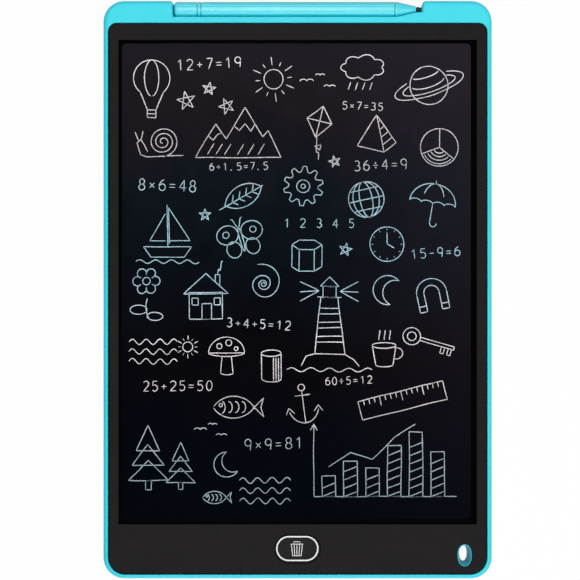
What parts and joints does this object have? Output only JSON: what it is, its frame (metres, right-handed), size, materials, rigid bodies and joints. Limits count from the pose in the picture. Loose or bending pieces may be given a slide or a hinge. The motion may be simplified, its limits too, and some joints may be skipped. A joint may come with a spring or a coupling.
{
  "type": "lcd writing tablet",
  "caption": "Thin writing tablet with a dark pressure-sensitive film in a framed case, an oval erase button, a strap hole and a pen in a cradle in its top edge.",
  "frame": {"origin": "centre of the tablet's outline, on the plane of its back", "axes": "+Z out of the screen, +Y towards the pen edge, +X to the right as the screen is read"},
  "size_m": [0.1916, 0.285, 0.0084],
  "materials": {
    "case_plastic": "satin moulded cyan plastic",
    "bezel_plastic": "fine matt charcoal plastic",
    "button_plastic": "satin charcoal plastic with a white printed sign",
    "writing_film": "smooth dark film with soft coloured strokes",
    "base_film": "black film",
    "foam": "fine grey foam",
    "backing_board": "stiff grey sheet",
    "flex_film": "amber flexible film",
    "connector_plastic": "cream plastic",
    "circuit_board": "green lacquered board",
    "screw_steel": "plated steel",
    "switch_metal": "plated steel cover",
    "contact_metal": "nickel plated spring strip",
    "cell_steel": "bright nickel plated can",
    "black_plastic": "matt black plastic",
    "knob_plastic": "matt charcoal plastic",
    "pen_plastic": "gloss cyan plastic",
    "inductor_core": "dark ferrite",
    "capacitor_ceramic": "tan ceramic",
    "resistor_ceramic": "black coated ceramic"
  },
  "bodies": {
    "case": {"rear_case": "case_plastic", "front_bezel": "bezel_plastic", "writing_film": "writing_film", "black_base_film": "base_film", "foam_pad": "foam", "backing_board": "backing_board", "lcd_flex_tail": "flex_film", "flex_connector": "connector_plastic", "circuit_board": "circuit_board", "board_screw_1": "screw_steel", "board_screw_2": "screw_steel", "board_screw_3": "screw_steel", "tact_switch_body": "switch_metal", "driver_chip": "black_plastic", "inductor": "inductor_core", "capacitor_1": "capacitor_ceramic", "capacitor_2": "capacitor_ceramic", "capacitor_3": "capacitor_ceramic", "resistor_1": "resistor_ceramic", "resistor_2": "resistor_ceramic", "slide_switch_body": "switch_metal", "coin_cell": "cell_steel", "positive_contact": "contact_metal", "negative_contact": "contact_metal"},
    "erase_key": {"erase_button": "button_plastic", "tact_switch_plunger": "black_plastic"},
    "lock_slider": {"lock_knob": "knob_plastic", "slide_switch_lever": "black_plastic"},
    "stylus": {"pen_end_cap": "pen_plastic", "pen_ring": "pen_plastic", "pen_barrel": "pen_plastic", "pen_nose": "pen_plastic", "pen_tip": "black_plastic"},
    "rear_door": {"battery_door": "case_plastic", "battery_door_screw": "screw_steel"}
  },
  "joints": [
    {"name": "erase_press", "type": "slide", "parent": "case", "child": "erase_key", "axis": [0, 0, -1], "range_m": [0, 0.0004], "stiffness_N_per_m": 2000, "springref_m": -0.0002},
    {"name": "lock_shift", "type": "slide", "parent": "case", "child": "lock_slider", "axis": [1, 0, 0], "range_m": [0, 0.003]},
    {"name": "pen_pull", "type": "slide", "parent": "case", "child": "stylus", "axis": [0, 1, 0], "range_m": [0, 0.04]},
    {"name": "door_lift", "type": "slide", "parent": "case", "child": "rear_door", "axis": [0, 0, -1], "range_m": [0, 0.02]}
  ]
}
